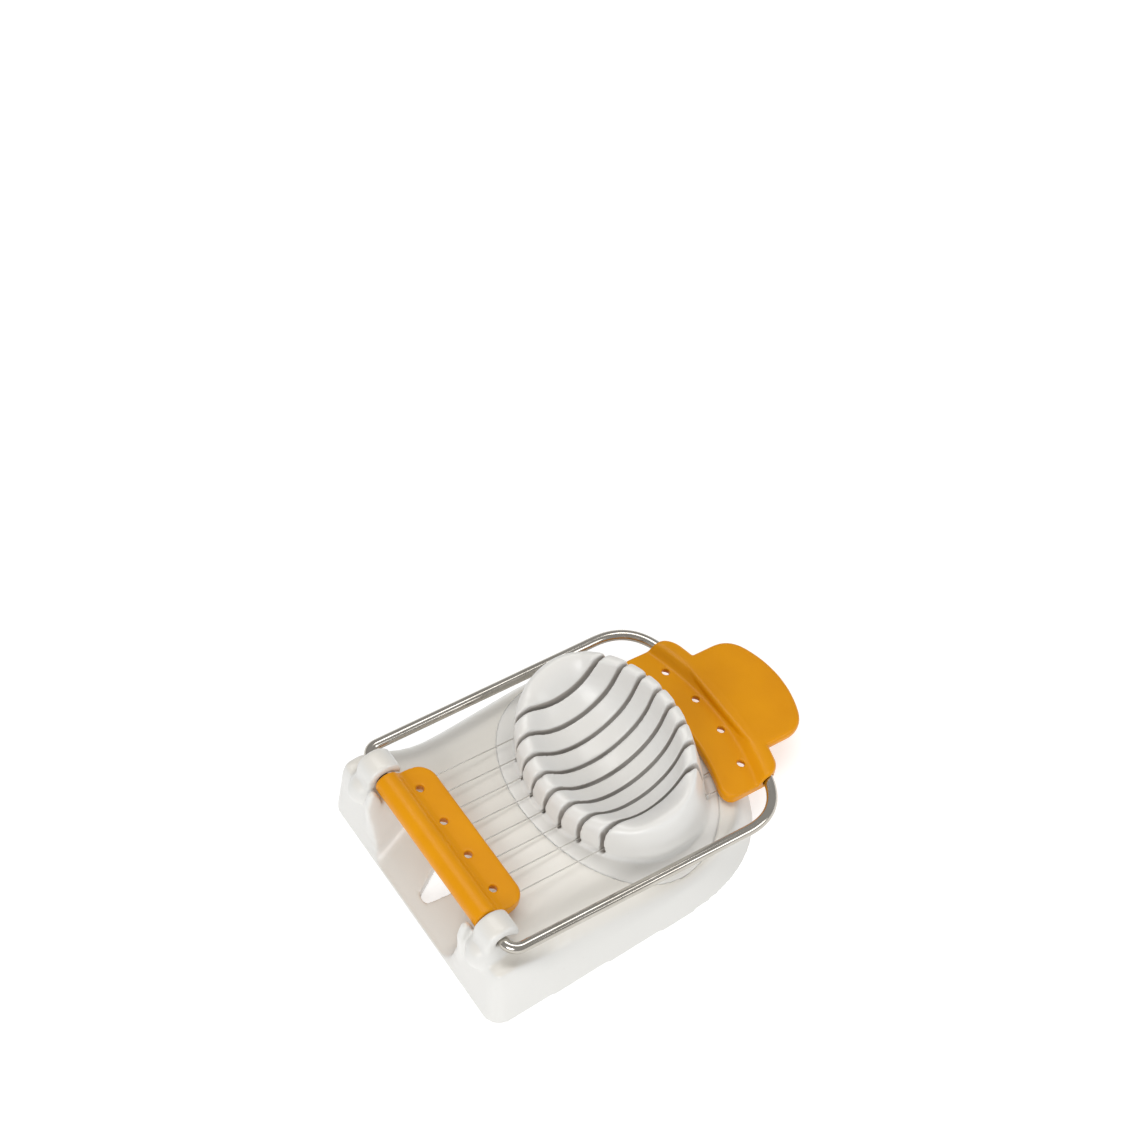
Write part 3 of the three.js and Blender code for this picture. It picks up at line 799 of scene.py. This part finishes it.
def hinge_bar():
    half, corner = 24.1, 5.0
    steps = [0, 0.15, 0.4, 0.8, 1.4, 2.2, 3.2, 4.2, 5.2]
    stations = [-half + s for s in steps] + [lerp(-18.9, 18.9, i / 12) for i in range(1, 12)]
    stations += [half - s for s in reversed(steps)]
    rings = []
    for y in stations:
        past = max(abs(y) - (half - corner), 0)
        reach = 12.5 - corner + math.sqrt(max(corner**2 - past**2, 0))
        near_end = max(abs(y) - (half - 0.8), 0) / 0.8
        tuck = 0.8 * (1 - math.sqrt(max(1 - near_end**2, 0)))
        ring = []
        for u, w in rear_section():
            if u > 4:
                u = 4 + (u - 4) * (reach - 4) / 8.5
            pull = 1 - tuck / 6
            ring.append((u * pull, y, w * pull))
        rings.append(ring)
    return raise_rings("hinge_bar", rings)


def front_section():
    """Section of the front bar by its arc radius: a plate, a soft crease and a raised band."""
    points = [(64.1, -3.0), (72, -3.0), (79.2, -3.0)]
    points += arc(79.4, -1.6, 1.4, -80, 0, 6) + arc(79.2, 1.2, 1.6, 0, 90, 7)
    crease = [(77.8, 2.85), (76.8, 2.75), (75.9, 2.35), (75.2, 1.6), (74.6, 0.8), (74.1, 0.3)]
    points += crease + [(73.5, 0.12), (72.8, 0.15), (71, 0.28), (68, 0.3), (65, 0.3)]
    points += arc(64.4, -0.6, 0.9, 90, 180, 5) + arc(64.4, -2.1, 0.9, 180, 260, 5)
    return points


def front_band():
    half, rear_corner, front_corner = 25.6, 5.0, 3.8
    rear_edge, plate_middle, band_middle, front_edge = 63.5, 70, 77, 80.8
    steps = [0, 0.15, 0.4, 0.8, 1.4, 2.2, 3.2, 4.2, 5.2]
    stations = [-half + s for s in steps] + [lerp(-20.4, 20.4, i / 26) for i in range(1, 26)]
    stations += [half - s for s in reversed(steps)]
    rings = []
    for y in stations:
        rear_past = max(abs(y) - (half - rear_corner), 0)
        front_past = max(abs(y) - (half - front_corner), 0)
        rear_round = math.sqrt(max(rear_corner**2 - rear_past**2, 0))
        front_round = math.sqrt(max(front_corner**2 - front_past**2, 0))
        rear = along_arc(rear_edge, y) + rear_corner - rear_round
        front = along_arc(front_edge, y) - front_corner + front_round
        near_end = max(abs(y) - (half - 0.9), 0) / 0.9
        pull = 1 - 0.25 * (1 - math.sqrt(max(1 - near_end**2, 0)))
        ring = []
        for radius, w in front_section():
            if radius < plate_middle:
                share = (radius - rear_edge) / (plate_middle - rear_edge)
                u = lerp(rear, along_arc(plate_middle, y), share)
            elif radius > band_middle:
                share = (radius - band_middle) / (front_edge - band_middle)
                u = lerp(along_arc(band_middle, y), front, share)
            else:
                u = along_arc(radius, y)
            ring.append((u, y, w * pull))
        rings.append(ring)
    return raise_rings("thumb_bar", rings)


def thumb_tab():
    half, tip, tip_radius, corner = 17.4, 112.0, 30.0, 5.0
    middle = tip - tip_radius
    turn = math.asin((half - corner) / tip_radius)
    shoulder = middle + tip_radius * math.cos(turn)
    edge = middle + math.sqrt(tip_radius**2 - half**2)
    root = ARC_CENTRE + 74.4
    plan = [(root, -half), (edge - corner, -half)]
    plan += bend((edge - corner, -half), (edge + 0.6, -half), (shoulder, corner - half), 8)
    plan += arc(middle, 0, tip_radius, -math.degrees(turn), math.degrees(turn), 30)[1:]
    plan += bend((shoulder, half - corner), (edge + 0.6, half), (edge - corner, half), 8)
    plan += [(root, half)]
    tab = raise_plan("tab", plan, -0.4, 2.8)
    round_over(tab, 1.2, 5)
    return tab


def drill_small_holes(bar, place):
    """Four round holes, each with a wider pocket under the bar's skin."""
    hole_radius, pocket_radius = 1.1, 2.1
    for step in (-1.5, -0.5, 0.5, 1.5):
        y = 2 * WIRE_SPACING * step
        hole = rod(hole_radius, (place(y), y, 0), "Z", 20, 32)
        pocket = rod(pocket_radius, (place(y), y, -3.6), "Z", 4.4, 40)
        cut(bar, hole, pocket)


rear_bar = hinge_bar()
drill_small_holes(rear_bar, lambda y: 6.1)
for side in (-1, 1):
    cut(rear_bar, rod(1.75, (0, side * 18.5, 0), "Y", 12.6, 32))
mould(rear_bar, 0.24, 4)
finish_piece(rear_bar, TO_FRAME, "cutting_frame", "bar_plastic", amber, "rear_bar")

front_bar = front_band()
join(front_bar, thumb_tab())
cut(front_bar, sweep("tunnel", [p for p in bail_path() if p[0] > 80], 1.75))
drill_small_holes(front_bar, lambda y: along_arc(72, y))
mould(front_bar, 0.26, 5)
finish_piece(front_bar, TO_FRAME, "cutting_frame", "bar_plastic", amber, "front_bar")

for number, y in enumerate(WIRE_ROWS, 1):
    tip = along_arc(WIRE_TIP_ARC, y)
    wire = sweep(f"drawn_wire_{number}", [(lerp(4.4, tip, i / 40), y) for i in range(41)], 0.17, 14)
    wire.data.transform(Matrix.Translation((0, 0, -WIRE_DROP)))
    node = f"cutting_wire_{number}"
    finish_piece(wire, TO_FRAME, "cutting_frame", "wire_steel", wire_steel, node)

# ---- studio -------------------------------------------------------------------------------


def pale_floor():
    finish = Finish("lit pale floor", Emission_Color=(1, 1, 1, 1), Emission_Strength=0.6)
    mottle = finish.clouds(9, 3, 0.5)
    pale, shade = (0.58, 0.58, 0.575, 1), (0.56, 0.56, 0.555, 1)
    colour = finish.blend(finish.band(mottle, 0.3, 0.7), pale, shade)
    return finish.surface(Base_Color=colour, Roughness=finish.band(mottle, 0.3, 0.7, 0.75, 0.85))


bpy.ops.object.select_all(action="DESELECT")
bpy.ops.mesh.primitive_plane_add(size=30)
floor = bpy.context.object
floor.name = "floor"
floor.data.materials.append(pale_floor())


def soft_light(name, place, size, power, target=(0, 0, 0.01)):
    light = bpy.data.lights.new(name, "AREA")
    light.shape = "RECTANGLE"
    light.size, light.size_y = size
    light.energy = power
    lamp = bpy.data.objects.new(name, light)
    bpy.context.collection.objects.link(lamp)
    lamp.location = place
    lamp.rotation_euler = (Vector(target) - Vector(place)).to_track_quat("-Z", "Y").to_euler()


soft_light("overhead softbox", (0.15, 0.25, 0.90), (0.9, 0.35), 3.4)
soft_light("camera side softbox", (-0.62, -0.50, 0.50), (0.5, 0.35), 3.6)
soft_light("front fill", (0.60, -0.62, 0.40), (0.4, 0.3), 1.2)

world = bpy.data.worlds.new("studio")
bpy.context.scene.world = world
world.use_nodes = True
world.node_tree.nodes["Background"].inputs["Color"].default_value = (1, 1, 1, 1)
world.node_tree.nodes["Background"].inputs["Strength"].default_value = 0.44
bpy.context.scene.view_settings.view_transform = "Standard"

camera_data = bpy.data.cameras.new("camera")
camera_data.sensor_width = 36
camera_data.lens = 75.99
camera = bpy.data.objects.new("camera", camera_data)
bpy.context.collection.objects.link(camera)
back = Vector((-0.3195, -0.4741, 0.8205)).normalized()
right = Vector((0.8292, -0.5589, 0.0)).normalized()
up = back.cross(right).normalized()
turn = Matrix((right, up, back)).transposed().to_4x4()
camera.matrix_world = Matrix.Translation(TO_STAND @ Vector((-172.1, -255.1, 563.6))) @ turn
bpy.context.scene.camera = camera
